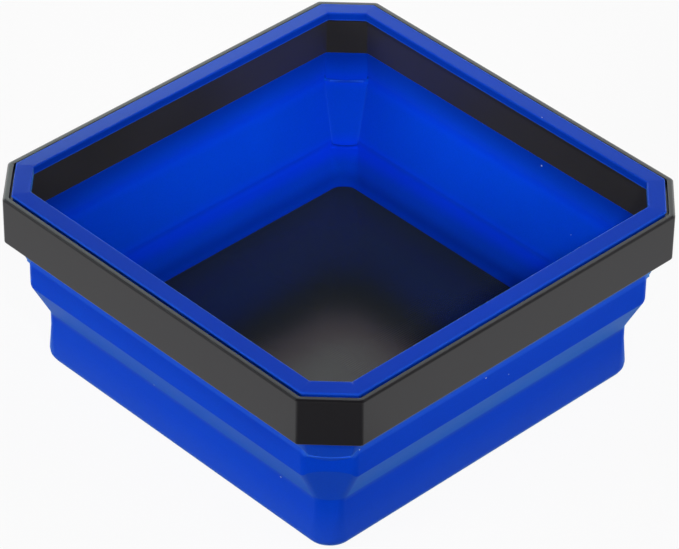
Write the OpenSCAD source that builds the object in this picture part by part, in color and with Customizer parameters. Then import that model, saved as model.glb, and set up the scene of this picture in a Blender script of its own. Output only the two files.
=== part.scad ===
// Collapsible magnetic parts tray, opened out. Millimetres, +Z up, standing on z = 0.
// A folding silicone bowl hangs in a two-piece plastic rim and carries a magnetic floor.

/* [Rim frames] */
// Width of the square rim across its flats
rim_w = 108; // [104:1:130]
// Length cut off each side of the rim at a corner
rim_cut = 9.2; // [8.4:0.1:12]
// Plan radius of the rim's corners
rim_r = 0.6; // [0.3:0.1:1.5]
// Height of the outer frame's top edge above the ground
rim_top = 46; // [44:0.5:60]
// Height of the outer frame's band
band_h = 11.5; // [10.8:0.1:13]
// Wall of the outer frame
band_t = 2; // [1.7:0.1:2.6]
// Top edge of the outer frame left in sight beside the lip
edge_show = 1.35; // [0.9:0.05:1.5]
// Radius on the outer frame's long edges
band_edge = 0.5; // [0.1:0.1:0.8]
// Wall of the inner frame
inner_t = 1.6; // [1.2:0.1:2]
// Height of the inner frame
inner_h = 9.4; // [7:0.1:10]

/* [Lip and collar] */
// Thickness of the lip
lip_h = 1.9; // [1.2:0.1:2.6]
// Height that the lip stands above the outer frame
lip_rise = 0.6; // [0.3:0.1:1]
// Radius on the lip's top edges
lip_edge = 0.3; // [0.1:0.05:0.5]
// Overhang of the lip inside the inner frame
lip_over = 0.4; // [0.2:0.1:1]
// Thickness of the web clamped between the frames
web_t = 1.1; // [0.8:0.1:1.5]
// Height of the bead that locks the web into the outer frame
bead_h = 1.8; // [1.4:0.1:3]
// Depth of the bead
bead_d = 0.5; // [0.3:0.1:0.6]
// Height of the collar's outside below the band, along the sides
collar_h = 5.1; // [4:0.1:7]
// How much lower the collar reaches at the corners
corner_dip = 2.8; // [1:0.1:3.5]

/* [Fold] */
// Silicone left at the upper hinge
upper_hinge_t = 0.4; // [0.2:0.05:0.8]
// Silicone left at the lower hinge
lower_hinge_t = 0.65; // [0.4:0.05:1.2]
// Length that the ridge loses at a corner beyond the rim's own cut
ridge_cut = 0.9; // [0:0.1:1.1]
// Plan radius of the ridge's corners
ridge_r = 2.3; // [0.5:0.1:4]
// Height of the ridge along the sides
ridge_h = 7.1; // [4:0.1:9]
// How much higher the ridge ends at the corners
ridge_lift = 1; // [0:0.1:2]
// Height between the outer and the inner edge of each hinge
crease_h = 0.9; // [0.5:0.1:1.5]
// Step in the inner wall at both creases
crease_step = 0.35; // [0.15:0.05:0.6]

/* [Base cup] */
// Setback of the waist from the rim's outside, where the cup meets the fold
waist_in = 9; // [7:0.1:14]
// Length cut off each side of the waist at a corner
waist_cut = 3.45; // [2.6:0.05:5]
// Plan radius of the waist's corners
waist_r = 2.5; // [0.5:0.1:4]
// Height of the waist above the ground
waist_z = 13; // [11.5:0.5:16]
// Height at which the cup starts to flare
flare_z = 9.5; // [8:0.1:11]
// Outward flare of the cup's foot on each side
foot_flare = 0.55; // [0.1:0.05:2]
// Length cut off each side of the foot at a corner
foot_cut = 3.4; // [3:0.1:6]
// Plan radius of the foot's corners
foot_r = 5; // [3:0.1:5.6]
// Radius on the cup's bottom edge
foot_edge = 2.5; // [1:0.1:2.8]
// Wall of the cup just above the floor's rounding
wall_t = 1.4; // [1:0.1:2]
// Thickness of the bottom skin under the magnets
skin_t = 0.8; // [0.5:0.1:1.5]

/* [Floor and magnets] */
// Length cut off each side of the floor at a corner
floor_cut = 2.4; // [2:0.1:6]
// Plan radius of the floor's corners
floor_r = 2.8; // [0.5:0.1:3.4]
// Thickness of the floor plate
floor_t = 0.8; // [0.5:0.1:2]
// Height of the rounding between the floor and the cup's wall
cove_h = 2.6; // [1:0.1:4]
// Width of that rounding
cove_w = 1.3; // [0.3:0.1:4]
// Diameter of a magnet
magnet_d = 12; // [6:0.5:20]
// Thickness of a magnet and of the carrier around it
magnet_t = 2; // [1:0.1:3]
// Distance from the floor's edge to the centres of the outer magnets
magnet_margin = 12; // [11:0.1:20]

/* [Hidden] */
// Gap that stays in sight between the lip and the outer frame
lip_gap = 0.15;
// Gap where the silicone is split into nodes
split_gap = 0.15;
// Radial clearance of a magnet in its pocket
pocket_gap = 0.1;
// Plan radius of the creases' corners
crease_r = 0.5;
// Length that the creases lose at a corner beyond the wall above them
crease_cut = 0.35;
// Magnets along each side of the square pattern
magnet_rows = 3;
// Least plan radius of a corner
least_r = 0.2;
// Share of a cut corner's length that two fillets may take up
fillet_share = 0.98;
// Segments along each rounded corner of a ring
arc_steps = 3;
// Turn between neighbouring points of a rounded edge
edge_turn = 30;
// Facets of a round magnet
round_facets = 64;
// Turn of one corner vertex of a ring, and of one whole corner
vertex_turn = 45;
corner_turn = 90;
// Share of an inset by which a parallel corner cut gets shorter
cut_share = 2 - sqrt(2);

silicone = "royalblue";
plastic = [0.13, 0.13, 0.14];
nickel = "silver";

// Heights worked out from the sizes above
lip_top = rim_top + lip_rise;
seat_z = lip_top - lip_h;
ledge_z = seat_z - inner_h;
band_low = rim_top - band_h;
bead_z = (seat_z + band_low) / 2;
fold_top = band_low - collar_h;
upper_crease_z = fold_top - crease_h;
lower_crease_z = waist_z + crease_h;
split_z = fold_top - corner_dip - split_gap;
carrier_top = skin_t + magnet_t;
floor_top = carrier_top + floor_t;

// Insets from the rim's outside to the faces of the clamped layers
lip_out = edge_show + lip_gap;
web_in = band_t + web_t;
mouth_in = web_in + inner_t;
lip_in = mouth_in + lip_over;
ridge_in = mouth_in - upper_hinge_t;

// Half-widths of the cup, worked out from the rim
rim_half = rim_w / 2;
waist_half = rim_half - waist_in;
floor_half = waist_half - wall_t - cove_w;

// Square pattern of magnets, spread evenly over the floor
magnet_pitch = 2 * (floor_half - magnet_margin) / (magnet_rows - 1);
magnet_count = magnet_rows * magnet_rows;

// Largest fillet that fits the two ends of a cut corner, or the wanted one
function fillet(cut, r) =
    max(least_r, min(r, fillet_share * cut / (sqrt(2) * tan(vertex_turn / 2))));

// A ring of points round the tray: a square of half-width half with cut and rounded corners.
// The points at the corners lie lower by dip.
function ring(half, cut, wanted_r, z, dip = 0) = [
    for (corner = [0 : 3], vertex = [0 : 1], step = [0 : arc_steps])
        let (
            r = fillet(cut, wanted_r),
            turn = vertex_turn * (vertex + step / arc_steps),
            reach = half - cut - r * tan(vertex_turn / 2),
            x = (vertex == 0 ? half - r : reach) + r * cos(turn),
            y = (vertex == 0 ? reach : half - r) + r * sin(turn),
            dip_share = (vertex == 0 ? step : arc_steps - step) / arc_steps,
            facing = corner_turn * corner
        )
        [x * cos(facing) - y * sin(facing), x * sin(facing) + y * cos(facing), z - dip * dip_share]
];

// Rings that run parallel to the rim, the foot and the floor
function rim_ring(inset, z) = ring(rim_half - inset, rim_cut - inset * cut_share, rim_r, z);
function foot_ring(inset, z) =
    ring(waist_half + foot_flare - inset, foot_cut - inset * cut_share, foot_r - inset, z);
function floor_ring(outset, z) =
    ring(floor_half + outset, floor_cut + outset * cut_share, floor_r + outset, z);

// Rings on both sides of the upper hinge, and the step that stands out below it
function ridge_ring(z, dip) =
    ring(rim_half - ridge_in, rim_cut - ridge_in * cut_share + ridge_cut, ridge_r, z, dip);
function upper_crease(step, z) =
    ring(
        rim_half - mouth_in - step,
        rim_cut - (mouth_in + step) * cut_share + crease_cut,
        crease_r,
        z
    );

// Rings on both sides of the lower hinge, and where the cup and the fold meet inside
function waist_ring(z) = ring(waist_half, waist_cut, waist_r, z);
function lower_crease(step, z) =
    ring(waist_half - lower_hinge_t - step, waist_cut + 2 * crease_cut, crease_r, z);

// Ring at height z on the fold's inner face, which runs straight from crease to crease
function inner_face(z) =
    let (
        upper = upper_crease(crease_step, upper_crease_z - crease_step),
        lower = lower_crease(0, lower_crease_z),
        share = (z - lower[0].z) / (upper[0].z - lower[0].z)
    )
    [for (i = [0 : len(upper) - 1]) lower[i] + (upper[i] - lower[i]) * share];

// The bead's four rings, from the top down
function bead_rings() = [
    rim_ring(band_t, bead_z + bead_h / 2),
    rim_ring(band_t - bead_d, bead_z + bead_h / 2 - bead_d),
    rim_ring(band_t - bead_d, bead_z - bead_h / 2 + bead_d),
    rim_ring(band_t, bead_z - bead_h / 2)
];

function reversed(list) = [for (i = [len(list) - 1 : -1 : 0]) list[i]];

// Side faces between each ring and the next, as triangles
function skin_faces(rows, points, closed) = [
    for (row = [0 : rows - (closed ? 1 : 2)], point = [0 : points - 1])
        let (
            next_row = (row + 1) % rows,
            next_point = (point + 1) % points,
            a = row * points + point,
            b = row * points + next_point,
            c = next_row * points + next_point,
            d = next_row * points + point
        )
        each [[a, b, c], [a, c, d]]
];

// A solid band: the rings go once round its section, outside downwards first.
module band(rings) {
    polyhedron(
        points = [for (row = rings) each row],
        faces = skin_faces(len(rings), len(rings[0]), true)
    );
}

// A solid bowl: the rings go from its bottom, over its rim and down to its inner floor.
module bowl(rings) {
    rows = len(rings);
    points = len(rings[0]);
    bottom = [for (i = [0 : points - 1]) i];
    inner_floor = [for (i = [points - 1 : -1 : 0]) (rows - 1) * points + i];
    polyhedron(
        points = [for (row = rings) each row],
        faces = concat([for (face = skin_faces(rows, points, false)) reversed(face)], [bottom, inner_floor])
    );
}

// Flat outline of the pieces that lie in the cup
module floor_outline() {
    polygon([for (p = floor_ring(0, 0)) [p.x, p.y]]);
}

// Places of the magnets, row by row
magnet_places = [
    for (row = [0 : magnet_rows - 1], column = [0 : magnet_rows - 1])
        [column - (magnet_rows - 1) / 2, row - (magnet_rows - 1) / 2] * magnet_pitch
];

// Black band round the outside, with a rebate for the lip and a groove for the bead
module outer_frame() {
    color(plastic)
        band(concat(
            [for (a = [0 : edge_turn : corner_turn])
                rim_ring(band_edge * (1 - sin(a)), rim_top - band_edge * (1 - cos(a)))],
            [for (a = [0 : edge_turn : corner_turn])
                rim_ring(band_edge * (1 - cos(a)), band_low + band_edge * (1 - sin(a)))],
            [rim_ring(band_t, band_low)],
            reversed(bead_rings()),
            [rim_ring(band_t, seat_z)],
            [rim_ring(edge_show, seat_z)],
            [rim_ring(edge_show, rim_top)]
        ));
}

// Black band inside the mouth, held in the recess between the lip and the collar's ledge
module inner_frame() {
    color(plastic)
        band([
            rim_ring(web_in, seat_z),
            rim_ring(web_in, ledge_z),
            rim_ring(mouth_in, ledge_z),
            rim_ring(mouth_in, seat_z)
        ]);
}

// Top zone of the silicone: lip, clamped web with its bead, tapered skirt and upper crease
module collar() {
    color(silicone)
        band(concat(
            [for (a = [0 : edge_turn : corner_turn])
                rim_ring(lip_out + lip_edge * (1 - sin(a)), lip_top - lip_edge * (1 - cos(a)))],
            [rim_ring(lip_out, seat_z)],
            [rim_ring(band_t, seat_z)],
            bead_rings(),
            [rim_ring(band_t, band_low)],
            [ridge_ring(fold_top, corner_dip)],
            [ridge_ring(split_z, 0)],
            [inner_face(split_z)],
            [upper_crease(crease_step, upper_crease_z - crease_step)],
            [upper_crease(crease_step, upper_crease_z)],
            [upper_crease(0, upper_crease_z)],
            [rim_ring(mouth_in, ledge_z)],
            [rim_ring(web_in, ledge_z)],
            [rim_ring(web_in, seat_z)],
            [rim_ring(lip_in, seat_z)],
            [for (a = [0 : edge_turn : corner_turn])
                rim_ring(lip_in - lip_edge * (1 - cos(a)), lip_top - lip_edge * (1 - sin(a)))]
        ));
}

// Middle zone of the silicone: thick between the two creases, so that it flips as one ring
module fold_panel() {
    color(silicone)
        band([
            ridge_ring(split_z - split_gap, 0),
            ridge_ring(fold_top - ridge_h, -ridge_lift),
            waist_ring(waist_z + split_gap),
            inner_face(lower_crease_z + split_gap),
            inner_face(split_z - split_gap)
        ]);
}

// Bottom zone of the silicone: foot, lower wall and the skin under the magnets
module base_cup() {
    color(silicone)
        bowl(concat(
            [for (a = [0 : edge_turn : corner_turn])
                foot_ring(foot_edge * (1 - sin(a)), foot_edge * (1 - cos(a)))],
            [waist_ring(flare_z)],
            [waist_ring(waist_z)],
            [lower_crease(0, lower_crease_z)],
            [lower_crease(crease_step, lower_crease_z)],
            [for (a = [corner_turn : -edge_turn : 0])
                floor_ring(cove_w * sin(a), floor_top + cove_h * (1 - cos(a)))],
            [floor_ring(0, skin_t)]
        ));
}

// Plate under the floor with a through pocket for each magnet
module magnet_carrier() {
    color(plastic)
        translate([0, 0, skin_t])
            linear_extrude(magnet_t)
                difference() {
                    floor_outline();
                    for (place = magnet_places)
                        translate(place)
                            circle(d = magnet_d + 2 * pocket_gap, $fn = round_facets);
                }
}

// Sheet that the tray's contents lie on
module floor_plate() {
    color(plastic)
        translate([0, 0, carrier_top])
            linear_extrude(floor_t)
                floor_outline();
}

// One disc magnet, closed in by the skin, its pocket and the floor plate
module magnet(place) {
    color(nickel)
        translate([place.x, place.y, skin_t])
            cylinder(d = magnet_d, h = magnet_t, $fn = round_facets);
}

outer_frame();
inner_frame();
collar();
fold_panel();
base_cup();
magnet_carrier();
floor_plate();
for (i = [1 : magnet_count])
    magnet(magnet_places[i - 1]);
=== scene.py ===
import math
from collections import namedtuple

import bpy
from mathutils import Matrix, Vector


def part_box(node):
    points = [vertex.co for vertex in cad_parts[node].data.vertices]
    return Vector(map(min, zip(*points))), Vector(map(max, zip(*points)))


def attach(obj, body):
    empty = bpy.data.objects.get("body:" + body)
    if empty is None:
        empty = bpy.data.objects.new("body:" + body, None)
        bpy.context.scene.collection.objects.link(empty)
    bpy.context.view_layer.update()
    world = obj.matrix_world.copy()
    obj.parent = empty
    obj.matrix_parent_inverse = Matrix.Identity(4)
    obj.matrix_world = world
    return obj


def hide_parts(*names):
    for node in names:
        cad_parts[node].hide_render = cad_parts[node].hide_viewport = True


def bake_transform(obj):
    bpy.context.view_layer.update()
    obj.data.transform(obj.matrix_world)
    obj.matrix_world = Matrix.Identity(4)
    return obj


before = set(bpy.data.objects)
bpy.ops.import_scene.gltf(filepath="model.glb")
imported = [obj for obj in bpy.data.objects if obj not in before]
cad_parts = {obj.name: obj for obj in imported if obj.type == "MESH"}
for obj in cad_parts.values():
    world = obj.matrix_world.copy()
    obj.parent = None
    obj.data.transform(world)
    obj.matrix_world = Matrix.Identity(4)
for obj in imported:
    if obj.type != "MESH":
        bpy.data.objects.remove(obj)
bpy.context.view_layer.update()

# Silicone bowl
# One blue moulding of soft silicone with a matte skin: the lip, the web that the two frames clamp,
# a tapered skirt, a thick ring between two thin creases, and a cup with a closed bottom.
# The creases are its hinges, so the ring flips over when the rim is pushed down.
MM = 0.001
rim_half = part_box("outer_frame")[1].x
band_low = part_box("outer_frame")[0].z
lip_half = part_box("collar")[1].x
lip_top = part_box("collar")[1].z
web_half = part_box("inner_frame")[1].x
ledge_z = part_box("inner_frame")[0].z
seat_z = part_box("inner_frame")[1].z
ridge_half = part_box("fold_panel")[1].x
foot_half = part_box("base_cup")[1].x
lower_crease_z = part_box("base_cup")[1].z
floor_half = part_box("floor_plate")[1].x
floor_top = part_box("floor_plate")[1].z
skin_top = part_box("magnet_carrier")[0].z

rim_cut = 9.2 * MM
rim_r = 0.6 * MM
band_t = 2 * MM
inner_t = 1.6 * MM
lip_over = 0.95 * MM
lip_edge = 0.3 * MM
lip_fall = 0.1 * MM
lip_gap = 0.35 * MM
lip_flange_t = 0.45 * MM
lip_undercut = 0.4 * MM
bead_h = 1.8 * MM
bead_d = 0.5 * MM
collar_h = 5.1 * MM
corner_dip = 2.8 * MM
ridge_h = 7.1 * MM
ridge_lift = 1.5 * MM
ridge_cut = 7.58 * MM
ridge_r = 2.3 * MM
ridge_edge = 0.6 * MM
groove_edge = 0.25 * MM
crease_h = 0.9 * MM
crease_cut = 0.35 * MM
crease_r = 0.5 * MM
crease_edge = 0.12 * MM
crease_side_edge = 3 * MM
crease_soft = 0.8 * MM
ledge_side = 0.12 * MM
ledge_corner = 0.4 * MM
notch_h = 0.45 * MM
notch_side = 0.1 * MM
notch_corner = 0.6 * MM
upper_dip = 0.9 * MM
lower_dip = 0.5 * MM
hinge_t = 0.65 * MM
waist_cut = 3.45 * MM
waist_r = 2.5 * MM
waist_side_edge = 4 * MM
waist_corner_edge = 0.5 * MM
waist_in = 0.55 * MM
waist_half = foot_half - waist_in
waist_z = lower_crease_z - crease_h
flare_z = 9.5 * MM
flare_edge = 8 * MM
foot_cut = 3.4 * MM
foot_r = 5 * MM
foot_edge = 2.5 * MM
floor_cut = 2.4 * MM
floor_r = 2.8 * MM
cove_w = 1.3 * MM
cove_h = 2.6 * MM
underside_inset = 8 * MM

Bend = namedtuple("Bend", "side corner plan_r edge corner_edge")
arc_steps = 6
edge_steps = 4
facet_steps = 6
facet_end_share = 0.65


def parallel_cut(inset):
    """Corner cut of an outline that runs parallel to the rim's outside, that far inside it."""
    return rim_cut - inset * (2 - math.sqrt(2))


def bend(half, cut, z, plan_r=rim_r, edge=0.0, corner_edge=None, corner_z=None):
    """One bend of a wall's section, on the sides and on the corner facets, with its edge radius."""
    facet = (2 * half - cut) / math.sqrt(2)
    corner = Vector((facet, z if corner_z is None else corner_z))
    return Bend(Vector((half, z)), corner, plan_r, edge, edge if corner_edge is None else corner_edge)


def rim_bend(half, z, edge=0.0):
    """A bend of a wall that runs parallel to the rim's outside."""
    return bend(half, parallel_cut(rim_half - half), z, edge=edge)


def stepped_cut(cut, side_step, corner_step):
    """Corner cut of an outline whose sides and corner facets step in by different lengths."""
    return cut - 2 * side_step + math.sqrt(2) * corner_step


def crease_bends(half, cut, z, dip):
    """A crease on the inside: the wall's edge, the root of the notch below it, and the ledge's edge.

    It is soft along the sides. On the corner facets it is crisp, its notch is deeper, and it dips.
    """
    wall_z = z + notch_h
    root_z = z + notch_h / 2
    root_cut = stepped_cut(cut, -notch_side, -notch_corner)
    ledge_half = half - ledge_side
    ledge_cut = stepped_cut(cut, ledge_side, ledge_corner)
    return [
        bend(half, cut, wall_z + crease_soft, crease_r, crease_side_edge, crease_edge, wall_z - dip),
        bend(half + notch_side, root_cut, root_z, crease_r, corner_z=root_z - dip),
        bend(ledge_half, ledge_cut, z - crease_soft, crease_r, crease_side_edge, crease_edge, z - dip),
    ]


def rounded(before, at, after, radius):
    """The arc that rounds off a bend of a section. It leaves part of each neighbouring run straight."""
    run_share = 0.48
    back = (before - at).normalized()
    ahead = (after - at).normalized()
    slope = math.tan(back.angle(ahead) / 2)
    longest = run_share * min((before - at).length, (after - at).length)
    run = min(radius / slope, longest)
    centre = at + (back + ahead).normalized() * math.hypot(run, run * slope)
    first = at + back * run - centre
    last = at + ahead * run - centre
    return [
        centre + first.slerp(last, step / edge_steps) * first.length for step in range(edge_steps + 1)
    ]


def ring(side, corner, plan_r):
    """Points once round the tray where a section crosses its sides and its corner facets."""
    facet_share = 0.98
    half, side_z = side
    facet, corner_z = corner
    cut = 2 * half - facet * math.sqrt(2)
    eighth = math.pi / 4
    lead = math.tan(eighth / 2)
    r = min(plan_r, facet_share * cut / (math.sqrt(2) * lead))
    arc = []
    for step in range(arc_steps + 1):
        turn = eighth * step / arc_steps
        share = facet_end_share * (step / arc_steps) ** 2
        x = half - r + r * math.cos(turn)
        y = half - cut - r * lead + r * math.sin(turn)
        arc.append((x, y, side_z + (corner_z - side_z) * share))
    x, y, _ = arc[-1]
    facet_points = []
    for step in range(1, facet_steps):
        along = step / facet_steps
        share = 1 - (1 - facet_end_share) * (2 * along - 1) ** 2
        z = side_z + (corner_z - side_z) * share
        facet_points.append((x + (y - x) * along, y + (x - y) * along, z))
    corner_points = arc + facet_points + [(y, x, z) for x, y, z in reversed(arc)]
    points = []
    for _ in range(4):
        points += corner_points
        corner_points = [(-y, x, z) for x, y, z in corner_points]
    return points


def loft(name, bends, closed):
    """A piece skinned over a section that is taken round the tray; an open section gets two caps."""
    sharp_deg = 35
    rings = []
    for i, at in enumerate(bends):
        before = bends[i - 1]
        after = bends[(i + 1) % len(bends)]
        if at.edge:
            sides = rounded(before.side, at.side, after.side, at.edge)
            corners = rounded(before.corner, at.corner, after.corner, at.corner_edge)
        else:
            sides = [at.side]
            corners = [at.corner]
        rings += [ring(side, corner, at.plan_r) for side, corner in zip(sides, corners)]
    count = len(rings[0])
    faces = []
    for row in range(len(rings) if closed else len(rings) - 1):
        low = row * count
        high = (row + 1) % len(rings) * count
        for i in range(count):
            j = (i + 1) % count
            faces.append((low + i, low + j, high + j, high + i))
    if not closed:
        faces.append(tuple(reversed(range(count))))
        faces.append(tuple(range((len(rings) - 1) * count, len(rings) * count)))
    mesh = bpy.data.meshes.new(name)
    mesh.from_pydata([point for points in rings for point in points], [], faces)
    mesh.shade_smooth()
    mesh.set_sharp_from_angle(angle=math.radians(sharp_deg))
    piece = bpy.data.objects.new(name, mesh)
    bpy.context.scene.collection.objects.link(piece)
    even_faces = piece.modifiers.new("even_faces", "WEIGHTED_NORMAL")
    even_faces.keep_sharp = True
    return piece


def bead_bends():
    """Bends of the round-topped bead on the web's outside, from the bottom up."""
    middle = (seat_z + band_low) / 2
    root = rim_half - band_t
    return [
        rim_bend(root, middle - bead_h / 2),
        rim_bend(root + bead_d, middle - bead_h / 2 + bead_d),
        rim_bend(root + bead_d, middle + bead_h / 2 - bead_d),
        rim_bend(root, middle + bead_h / 2),
    ]


mouth_half = web_half - inner_t
fold_top = band_low - collar_h
upper_crease_z = fold_top - crease_h
lower_crease_half = waist_half - hinge_t
mouth_crease_cut = parallel_cut(rim_half - mouth_half) + crease_cut
waist_crease_cut = waist_cut + 2 * crease_cut

outside = [
    bend(foot_half - underside_inset, foot_cut, 0, foot_r),
    bend(foot_half, foot_cut, 0, foot_r, foot_edge),
    bend(waist_half, waist_cut, flare_z, waist_r, flare_edge),
    bend(waist_half, waist_cut, waist_z, waist_r, waist_side_edge, waist_corner_edge),
    bend(
        ridge_half, ridge_cut, fold_top - ridge_h, ridge_r, ridge_edge,
        corner_z=fold_top - ridge_h + ridge_lift,
    ),
    bend(ridge_half, ridge_cut, fold_top, ridge_r, groove_edge, corner_z=fold_top - corner_dip),
    bend(rim_half - band_t, parallel_cut(band_t), band_low, ridge_r),
    *bead_bends(),
    rim_bend(rim_half - band_t, seat_z),
    rim_bend(lip_half - lip_gap - lip_undercut, seat_z),
    rim_bend(lip_half - lip_gap - lip_undercut, lip_top - lip_fall - lip_flange_t),
    rim_bend(lip_half - lip_gap, lip_top - lip_fall - lip_flange_t),
    rim_bend(lip_half - lip_gap, lip_top - lip_fall, lip_edge),
]
inside = [
    rim_bend(mouth_half - lip_over, lip_top, lip_edge),
    rim_bend(mouth_half - lip_over, seat_z),
    rim_bend(web_half, seat_z),
    rim_bend(web_half, ledge_z),
    rim_bend(mouth_half, ledge_z, crease_edge),
    *crease_bends(mouth_half, mouth_crease_cut, upper_crease_z, upper_dip),
    *crease_bends(lower_crease_half, waist_crease_cut, lower_crease_z, lower_dip),
]
cove = []
for step in range(edge_steps + 1):
    turn = math.pi / 2 * (1 - step / edge_steps)
    out = cove_w * math.sin(turn)
    cut = floor_cut + out * (2 - math.sqrt(2))
    cove.append(bend(floor_half + out, cut, floor_top + cove_h * (1 - math.cos(turn)), floor_r + out))
pocket = [bend(floor_half, floor_cut, skin_top, floor_r)]
bowl = loft("silicone_bowl", outside + inside + cove + pocket, closed=False)


class Shade:
    """A socket in a node tree. Arithmetic and comparisons on it add Math nodes to the tree."""

    def __init__(self, tree, socket=None):
        self.tree = tree
        self.socket = socket

    def node(self, kind, settings=None, sockets=None, output=0):
        """A new node: its settings are set first, then the values or links of its sockets."""
        made = self.tree.nodes.new("ShaderNode" + kind)
        for name, value in (settings or {}).items():
            setattr(made, name, value)
        for name, value in (sockets or {}).items():
            if isinstance(value, Shade):
                self.tree.links.new(value.socket, made.inputs[name])
            else:
                made.inputs[name].default_value = value
        return Shade(self.tree, made.outputs[output] if made.outputs else None)

    def maths(self, operation, first, second):
        return self.node("Math", {"operation": operation}, {0: first, 1: second})

    def mixed(self, first, second):
        """The colour first where this value is 0, and second where it is 1."""
        return self.node("Mix", {"data_type": "RGBA"}, {0: self, 6: first, 7: second}, output=2)

    def rise(self, low, high):
        """A smooth rise from 0 to 1 while this value goes from low to high."""
        return self.node("MapRange", {"interpolation_type": "SMOOTHSTEP"}, {
            "Value": self, "From Min": low, "From Max": high, "To Min": 0, "To Max": 1,
        })

    def band(self, middle, reach):
        """A smooth bump that is 1 where this value is in the middle, and 0 beyond its reach."""
        return self.rise(middle - reach, middle) * (1 - self.rise(middle, middle + reach))

    def __add__(self, other):
        return self.maths("ADD", self, other)

    def __radd__(self, other):
        return self.maths("ADD", other, self)

    def __sub__(self, other):
        return self.maths("SUBTRACT", self, other)

    def __rsub__(self, other):
        return self.maths("SUBTRACT", other, self)

    def __mul__(self, other):
        return self.maths("MULTIPLY", self, other)

    def __rmul__(self, other):
        return self.maths("MULTIPLY", other, self)

    def __lt__(self, other):
        return self.maths("LESS_THAN", self, other)

    def __gt__(self, other):
        return self.maths("GREATER_THAN", self, other)


def new_material(name):
    """A material with no nodes yet, and the Shade that adds them."""
    material = bpy.data.materials.new(name)
    material.use_nodes = True
    material.node_tree.nodes.clear()
    return material, Shade(material.node_tree)


def silicone():
    """Matte blue silicone, cloudy, with a fine grain, specks of dust, and painted light and shade.

    Painted highlights run along its edges and the panel's corner creases, painted shade fills its other
    creases, and the lip's top is a darker copy of the blue: painted shade.
    Inside the bowl a painted glow brightens the thin hinges, and painted shade darkens it below the
    frame and beside the floor. Outside, painted light thrown back by the table pales it towards the
    foot.
    """
    deep_blue = (0.0007, 0.050, 0.65, 1)
    clear_blue = (0.0014, 0.078, 0.87, 1)
    # Painted shade: the lip's blues are darker copies of the body's, for its top face that the lamps
    # light more.
    lip_shaded_deep = (0.0007, 0.045, 0.56, 1)
    lip_shaded_clear = (0.0010, 0.058, 0.72, 1)
    # Painted shade in the creases.
    crease_shade_blue = (0.0005, 0.022, 0.33, 1)
    # Painted highlight along the edges and the panel's corner creases.
    edge_highlight_blue = (0.03, 0.16, 0.95, 1)
    dust_grey = (0.55, 0.60, 0.75, 1)
    # Painted glow: light through the thin hinges, painted as a brighter blue.
    hinge_glow_blue = (0.0010, 0.056, 0.98, 1)
    # Painted shade below the frame and beside the floor, inside the bowl.
    painted_shade_blue = (0.0006, 0.034, 0.42, 1)
    # Painted light: the table's bounce, paling the outside towards the foot.
    foot_bounce_blue = (0.12, 0.26, 0.62, 1)
    foot_bounce_share = 0.13
    skin_share = 0.5
    upper_glow = 0.4
    painted_shade_share = 0.8
    speck_reach = 0.05
    speckless_share = 0.93
    smoothest = 0.4
    gloss_spread = 0.1
    lip_coat = 0.16
    lip_depth = 0.7 * MM
    upper_reach = 3 * MM
    lower_reach = 4.5 * MM
    lower_drop = 1 * MM
    panel_fade = 2 * MM
    painted_shade_from = 0.5 * MM
    painted_shade_to = 5 * MM
    hollow_reach = 0.7 * MM
    edge_reach = 0.45 * MM
    grain = 0.03 * MM
    material, shade = new_material("blue_silicone")
    place = shade.node("TexCoord", output="Object")
    cloud = shade.node("TexNoise", sockets={"Vector": place, "Scale": 55, "Detail": 3})
    skin = shade.node("TexNoise", sockets={"Vector": place, "Scale": 2600, "Detail": 2})
    tone = cloud * (1 - skin_share) + skin * skin_share
    cells = {"Vector": place, "Scale": 260}
    cell_reach = shade.node("TexVoronoi", sockets=cells, output="Distance")
    cell_draw = shade.node("TexVoronoi", sockets=cells, output="Color")
    draw = shade.node("SeparateColor", sockets={"Color": cell_draw}, output="Red")
    specks = (cell_reach < speck_reach) * (draw > speckless_share)
    grown = shade.node("TexCoord", output="Generated")
    height = shade.node("SeparateXYZ", sockets={"Vector": grown}, output="Z") * lip_top
    lip = height > lip_top - lip_depth
    facing = {0: place, 1: shade.node("TexCoord", output="Normal")}
    inward = shade.node("VectorMath", {"operation": "DOT_PRODUCT"}, facing, output="Value") < 0
    # Bands of painted glow at the two hinges, used on the inside only.
    upper_hinge = height.band(upper_crease_z, upper_reach)
    lower_hinge = height.band(lower_crease_z - lower_drop, lower_reach)
    hinge_glow_mask = upper_hinge * upper_glow + lower_hinge
    # Where painted shade falls: below the frame and beside the floor.
    below_frame = height.rise(fold_top, ledge_z)
    beside_floor = 1 - height.rise(floor_top + painted_shade_from, floor_top + painted_shade_to)
    painted_shade_mask = (below_frame + beside_floor) * painted_shade_share
    # Occlusion finds the creases, which get painted shade, and the edges, which get painted highlights.
    near = {"samples": 8, "only_local": True}
    open_face = shade.node("AmbientOcclusion", near, {"Distance": hollow_reach}, output="AO")
    within = {**near, "inside": True}
    thick_face = shade.node("AmbientOcclusion", within, {"Distance": edge_reach}, output="AO")
    # Painted shade: the lip's top takes the darker copies of the blue.
    blue = lip.mixed(tone.mixed(deep_blue, clear_blue), tone.mixed(lip_shaded_deep, lip_shaded_clear))
    # Painted glow at the hinges.
    hinge_glowed = (inward * hinge_glow_mask).mixed(blue, hinge_glow_blue)
    # Painted light thrown back by the table, on the outside below the waist.
    low_outside = (1 - inward) * (1 - height.rise(0, waist_z))
    bounce_paled = (low_outside * foot_bounce_share).mixed(hinge_glowed, foot_bounce_blue)
    # Painted shade inside, below the frame and beside the floor.
    painted_shaded = (inward * painted_shade_mask).mixed(bounce_paled, painted_shade_blue)
    # On the panel the creases get a painted highlight; elsewhere they get painted shade.
    above_lower = height.rise(lower_crease_z, lower_crease_z + panel_fade)
    below_upper = 1 - height.rise(upper_crease_z - panel_fade, upper_crease_z)
    on_panel = inward * above_lower * below_upper
    hollow_shade_and_highlight = on_panel.mixed(crease_shade_blue, edge_highlight_blue)
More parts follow.
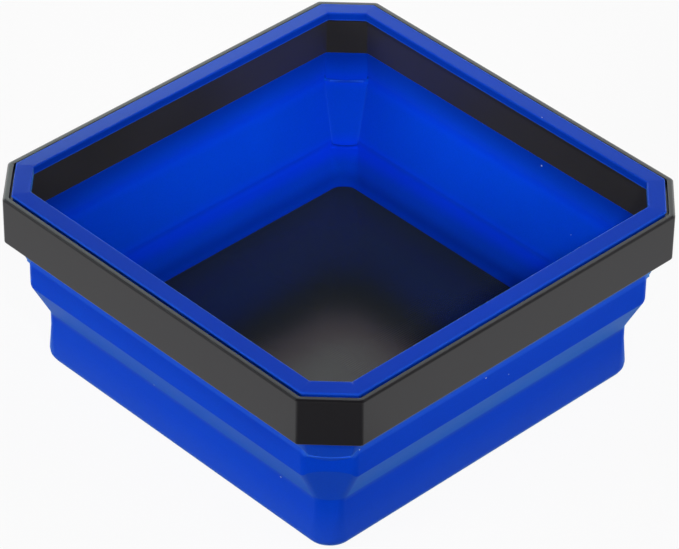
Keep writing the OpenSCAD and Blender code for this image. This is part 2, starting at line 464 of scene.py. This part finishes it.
    # Painted highlights on the edges, except on the inside below the frame's seat.
    edgeless = thick_face + inward * (height < seat_z)
    edged = edgeless.mixed(edge_highlight_blue, open_face.mixed(hollow_shade_and_highlight, painted_shaded))
    bump = shade.node("Bump", sockets={"Strength": 0.25, "Distance": grain, "Height": skin})
    body = shade.node("BsdfPrincipled", sockets={
        "Base Color": specks.mixed(edged, dust_grey),
        "Roughness": smoothest + cloud * gloss_spread,
        "Specular IOR Level": 0.06,
        "Specular Tint": (0.6, 0.95, 1, 1),
        "Coat Weight": lip * lip_coat,
        "Coat Roughness": 0.1,
        "Sheen Weight": 0.33,
        "Sheen Roughness": 0.35,
        "Sheen Tint": (0.2, 0.95, 1, 1),
        "Subsurface Weight": 0.15,
        "Subsurface Radius": (0.05, 0.2, 0.6),
        "Subsurface Scale": MM,
        "IOR": 1.41,
        "Normal": bump,
    })
    shade.node("OutputMaterial", sockets={"Surface": body})
    return material


bowl.data.materials.append(silicone())
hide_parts("collar", "fold_panel", "base_cup")
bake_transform(bowl)

# Magnet carrier
# A flat black plate that lies on the bowl's bottom skin, with a round pocket cut through it for each
# magnet. It is stamped from plastic sheet and is closed in under the floor plate.


def dress(node, material):
    """Gives a node of the frame its finish in place of the plain one."""
    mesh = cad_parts[node].data
    mesh.materials.clear()
    mesh.materials.append(material)


def black_plastic(name, grey, roughness, grain):
    """Moulded black plastic: a faint mottle in tone and gloss, and a fine grain of that height."""
    dark_share = 0.8
    light_share = 1.25
    gloss_spread = 0.1
    material, shade = new_material(name)
    place = shade.node("TexCoord", output="Object")
    mottle = shade.node("TexNoise", sockets={"Vector": place, "Scale": 45, "Detail": 4})
    fine = shade.node("TexNoise", sockets={"Vector": place, "Scale": 3200, "Detail": 2})
    bump = shade.node("Bump", sockets={"Strength": 0.3, "Distance": grain, "Height": fine})
    dark_grey = [dark_share * channel for channel in grey] + [1]
    light_grey = [light_share * channel for channel in grey] + [1]
    body = shade.node("BsdfPrincipled", sockets={
        "Base Color": mottle.mixed(dark_grey, light_grey),
        "Roughness": roughness - gloss_spread / 2 + mottle * gloss_spread,
        "IOR": 1.5,
        "Normal": bump,
    })
    shade.node("OutputMaterial", sockets={"Surface": body})
    return material


carrier_grey = (0.012, 0.012, 0.013)
carrier_black = black_plastic("carrier_black", carrier_grey, roughness=0.6, grain=0.03 * MM)
dress("magnet_carrier", carrier_black)

# Magnets
# Nine flat discs of sintered magnet with a bright nickel coat, one in each pocket of the carrier.
# They lie on the bottom skin, flush with the carrier's top.


def nickel():
    """Bright nickel plating with a faint mottle in its tone and gloss."""
    dull_nickel = (0.52, 0.50, 0.46, 1)
    bright_nickel = (0.62, 0.60, 0.56, 1)
    smoothest = 0.18
    gloss_spread = 0.15
    material, shade = new_material("magnet_nickel")
    place = shade.node("TexCoord", output="Object")
    mottle = shade.node("TexNoise", sockets={"Vector": place, "Scale": 400, "Detail": 3})
    body = shade.node("BsdfPrincipled", sockets={
        "Base Color": mottle.mixed(dull_nickel, bright_nickel),
        "Metallic": 1.0,
        "Roughness": smoothest + mottle * gloss_spread,
    })
    shade.node("OutputMaterial", sockets={"Surface": body})
    return material


nickel_plate = nickel()
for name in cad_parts:
    if name.startswith("magnet_") and name != "magnet_carrier":
        dress(name, nickel_plate)

# Floor plate
# The smooth black sheet that small parts lie on, set into the cup's rounded foot.
# It is semi-gloss plastic with very fine straight lines from the rolled sheet.


def rolled_sheet():
    """Semi-gloss black sheet with faint straight lines."""
    dark_sheet = (0.018, 0.024, 0.018, 1)
    pale_sheet = (0.026, 0.033, 0.025, 1)
    smoothest = 0.15
    gloss_spread = 0.06
    line_h = 0.5
    grain_h = 0.2
    relief = 0.008 * MM
    material, shade = new_material("floor_black")
    place = shade.node("TexCoord", output="Object")
    mottle = shade.node("TexNoise", sockets={"Vector": place, "Scale": 30, "Detail": 3})
    lines = shade.node(
        "TexWave", {"bands_direction": "X"},
        {"Vector": place, "Scale": 560, "Distortion": 0.6, "Detail": 1},
    )
    fine = shade.node("TexNoise", sockets={"Vector": place, "Scale": 2400, "Detail": 2})
    bump = shade.node("Bump", sockets={
        "Strength": 0.6, "Distance": relief, "Height": lines * line_h + fine * grain_h,
    })
    body = shade.node("BsdfPrincipled", sockets={
        "Base Color": mottle.mixed(dark_sheet, pale_sheet),
        "Roughness": smoothest + mottle * gloss_spread,
        "IOR": 1.54,
        "Normal": bump,
    })
    shade.node("OutputMaterial", sockets={"Surface": body})
    return material


dress("floor_plate", rolled_sheet())

# Inner frame
# A moulded band of black plastic inside the mouth. It presses the bowl's web outwards against the
# outer frame, and sits in the recess between the lip and the ledge.
inner_edge = 0.15 * MM
inner_frame = loft("inner_band", [
    rim_bend(web_half, ledge_z),
    rim_bend(web_half, seat_z),
    rim_bend(mouth_half, seat_z, inner_edge),
    rim_bend(mouth_half, ledge_z, inner_edge),
], closed=True)
inner_grey = (0.034, 0.032, 0.032)
inner_black = black_plastic("inner_black", inner_grey, roughness=0.36, grain=0.015 * MM)
inner_frame.data.materials.append(inner_black)
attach(inner_frame, "rim")
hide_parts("inner_frame")

# Outer frame
# The moulded band of black plastic round the outside, eight-sided, with rounded long edges.
# The lip lies in its rebate and the web's bead snaps into a groove on its inside.
rim_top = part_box("outer_frame")[1].z
band_edge = 0.5 * MM
band_r = 1.1 * MM
edge_show = 1.35 * MM
rebate_edge = 0.15 * MM
outer_frame = loft("outer_band", [
    bend(rim_half, rim_cut, band_low, band_r, band_edge),
    bend(rim_half, rim_cut, rim_top, band_r, band_edge),
    rim_bend(rim_half - edge_show, rim_top, rebate_edge),
    rim_bend(rim_half - edge_show, seat_z),
    rim_bend(rim_half - band_t, seat_z),
    *reversed(bead_bends()),
    rim_bend(rim_half - band_t, band_low),
], closed=True)
band_grey = (0.0095, 0.0085, 0.0105)
frame_black = black_plastic("frame_black", band_grey, roughness=0.34, grain=0.015 * MM)
outer_frame.data.materials.append(frame_black)
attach(outer_frame, "rim")
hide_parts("outer_frame")

# Camera
# A long lens that looks down on the tray's front corner, fitted to the photograph.
# Its lens is worked out for a picture 679 pixels wide.
focal_px = 4239.518
image_w_px = 679
sensor_w_mm = 36
azimuth = math.radians(46.05)
elevation = math.radians(37.687)
roll = math.radians(0.788)
distance = 861.407 * MM
clip_reach = 100
target_x = 21.246 * MM
target_y = -20.092 * MM
target = Vector((target_x, target_y, rim_top))
back = Vector((
    math.sin(azimuth) * math.cos(elevation),
    -math.cos(azimuth) * math.cos(elevation),
    math.sin(elevation),
))
right = Vector((math.cos(azimuth), math.sin(azimuth), 0))
up = back.cross(right)
camera = bpy.data.objects.new("camera", bpy.data.cameras.new("camera"))
camera.data.sensor_width = sensor_w_mm
camera.data.lens = focal_px * sensor_w_mm / image_w_px
camera.data.clip_start = distance / clip_reach
camera.data.clip_end = distance * clip_reach
rolled_right = right * math.cos(roll) + up * math.sin(roll)
rolled_up = up * math.cos(roll) - right * math.sin(roll)
turned = Matrix((rolled_right, rolled_up, back)).transposed().to_4x4()
camera.matrix_world = Matrix.Translation(target + back * distance) @ turned
bpy.context.scene.collection.objects.link(camera)
bpy.context.scene.camera = camera

# Studio
# A white table with a grey card before the tray, low softboxes round it, and a narrow spot for its
# inside. The lamps aren't mirrored in the tray, which mirrors the table, the card and the air of
# the room.
table_w = 6.0
card_near = 66 * MM
card_depth = 500 * MM
card_w = 90 * MM
card_z = 0.2 * MM


def sheet_of(name, width, depth, place, material):
    """A flat stage sheet that lies at a place."""
    x = width / 2
    y = depth / 2
    mesh = bpy.data.meshes.new(name)
    mesh.from_pydata([(-x, -y, 0), (x, -y, 0), (x, y, 0), (-x, y, 0)], [], [(0, 1, 2, 3)])
    mesh.materials.append(material)
    made = bpy.data.objects.new(name, mesh)
    made.location = place
    bpy.context.scene.collection.objects.link(made)
    return made


def rays(shade):
    """Tells the camera's own rays from those that come by way of the tray's gloss."""
    shown = shade.node("LightPath", output="Is Camera Ray")
    glossy = shade.node("LightPath", output="Is Glossy Ray")
    through = shade.node("LightPath", output="Is Transmission Ray")
    return shown, glossy + through


def white_table():
    """White for what the camera and reflections see, with the tray's shadow left in it."""
    shown_white = 0.93
    mirrored_white = 0.75
    bounced_grey = (0.4, 0.4, 0.4, 1)
    shown_grey = (0.95, 0.95, 0.95, 1)
    material, shade = new_material("white_table")
    shown, mirrored = rays(shade)
    lit = shade.node("BsdfPrincipled", sockets={
        "Base Color": shown.mixed(bounced_grey, shown_grey), "Roughness": 1, "Specular IOR Level": 0,
    })
    white = shade.node("Emission", sockets={"Color": (1, 1, 1, 1), "Strength": 1})
    whiteness = shown * shown_white + mirrored * mirrored_white
    mixed = shade.node("MixShader", sockets={0: whiteness, 1: lit, 2: white})
    shade.node("OutputMaterial", sockets={"Surface": mixed})
    return material


def grey_card():
    """Plain grey card."""
    card_colour = (0.4, 0.4, 0.4, 1)
    material, shade = new_material("grey_card")
    lit = shade.node("BsdfDiffuse", sockets={"Color": card_colour})
    shade.node("OutputMaterial", sockets={"Surface": lit})
    return material


sheet_of("table", table_w, table_w, (0, 0, 0), white_table())
card_middle = card_near + card_depth / 2
card_place = (card_middle * math.sin(azimuth), -card_middle * math.cos(azimuth), card_z)
card = sheet_of("front_card", card_w, card_depth, card_place, grey_card())
card.rotation_euler.z = azimuth
card.visible_camera = False
card.visible_shadow = False


def lamp_place(azimuth_deg, elevation_deg):
    """A place on the sphere of lamps round the tray."""
    lamp_distance = 1.0
    turn = math.radians(azimuth_deg)
    lift = math.radians(elevation_deg)
    return Vector((
        lamp_distance * math.sin(turn) * math.cos(lift),
        -lamp_distance * math.cos(turn) * math.cos(lift),
        lamp_distance * math.sin(lift),
    ))


def put_up(lamp, place, aim):
    """Puts up a lamp that faces a point and isn't mirrored."""
    made = bpy.data.objects.new(lamp.name, lamp)
    made.location = place
    made.rotation_euler = (aim - place).to_track_quat("-Z", "Y").to_euler()
    made.visible_glossy = False
    bpy.context.scene.collection.objects.link(made)


tray_foot = Vector((0, 0, 0))
# Azimuth and elevation in degrees, width and height in metres, watts
for name, azimuth_deg, elevation_deg, lamp_w, lamp_h, power in (
    ("front_softbox", 47, 25, 0.6, 0.25, 1.2),
    ("left_softbox", -18, 21, 0.4, 0.25, 3.9),
    ("right_softbox", 110, 21, 0.4, 0.25, 2.0),
    ("far_left_softbox", -90, 6, 0.4, 0.2, 2.5),
    ("far_right_softbox", 180, 6, 0.4, 0.2, 2.5),
):
    softbox = bpy.data.lights.new(name, "AREA")
    softbox.shape = "RECTANGLE"
    softbox.size = lamp_w
    softbox.size_y = lamp_h
    softbox.energy = power
    put_up(softbox, lamp_place(azimuth_deg, elevation_deg), tray_foot)

spot_watts = 24
spot_cone_deg = 10
spot_r = 0.06
inside_back = Vector((-30, 30, 25)) * MM
spot = bpy.data.lights.new("inside_spot", "SPOT")
spot.energy = spot_watts
spot.spot_size = math.radians(spot_cone_deg)
spot.spot_blend = 1
spot.shadow_soft_size = spot_r
put_up(spot, lamp_place(azimuth_deg=63, elevation_deg=45), inside_back)

world = bpy.data.worlds.new("studio")
bpy.context.scene.world = world
world.use_nodes = True
world.node_tree.nodes.clear()
shade = Shade(world.node_tree)
direction = {"Vector": shade.node("TexCoord", output="Generated")}
along_x = shade.node("SeparateXYZ", sockets=direction, output="X")
along_y = shade.node("SeparateXYZ", sockets=direction, output="Y")
height = shade.node("SeparateXYZ", sockets=direction, output="Z")
aside = along_x * math.cos(azimuth) + along_y * math.sin(azimuth)
behind = along_y * math.cos(azimuth) - along_x * math.sin(azimuth)


def climb(low_deg, high_deg):
    """A smooth rise from 0 to 1 while a direction's elevation goes from low to high."""
    return height.rise(math.sin(math.radians(low_deg)), math.sin(math.radians(high_deg)))


def air(red, green, blue):
    """Even light of a colour."""
    return shade.node("Background", sockets={"Color": (red, green, blue, 1), "Strength": 1})


def between(share, first, second):
    """The light first where the share is 0, and second where it is 1."""
    return shade.node("MixShader", sockets={0: share, 1: first, 2: second})


white_air = air(1, 1, 1)
soft_air = air(0.15, 0.15, 0.15)
front_air = air(0.1, 0.1, 0.1)
horizon_air = air(3, 3, 3)
low_left_air = air(4.4, 5.8, 5.4)
low_right_air = air(1.6, 2.0, 2.0)
middle_air = air(0.8, 0.66, 0.73)
high_air = air(0.12, 0.12, 0.12)
low_air = between(aside.rise(low=-0.06, high=0.07), low_left_air, low_right_air)
lowest_air = between(climb(low_deg=26, high_deg=32.5), horizon_air, low_air)
lower_air = between(climb(low_deg=33.6, high_deg=36.8), lowest_air, middle_air)
back_air = between(climb(low_deg=44, high_deg=52), lower_air, high_air)
mirrored_air = between(behind.rise(low=-0.15, high=0.45), front_air, back_air)
shown, mirrored = rays(shade)
lit_air = between(mirrored, soft_air, mirrored_air)
shade.node("OutputWorld", sockets={"Surface": between(shown, lit_air, white_air)})

bpy.context.scene.view_settings.view_transform = "Standard"
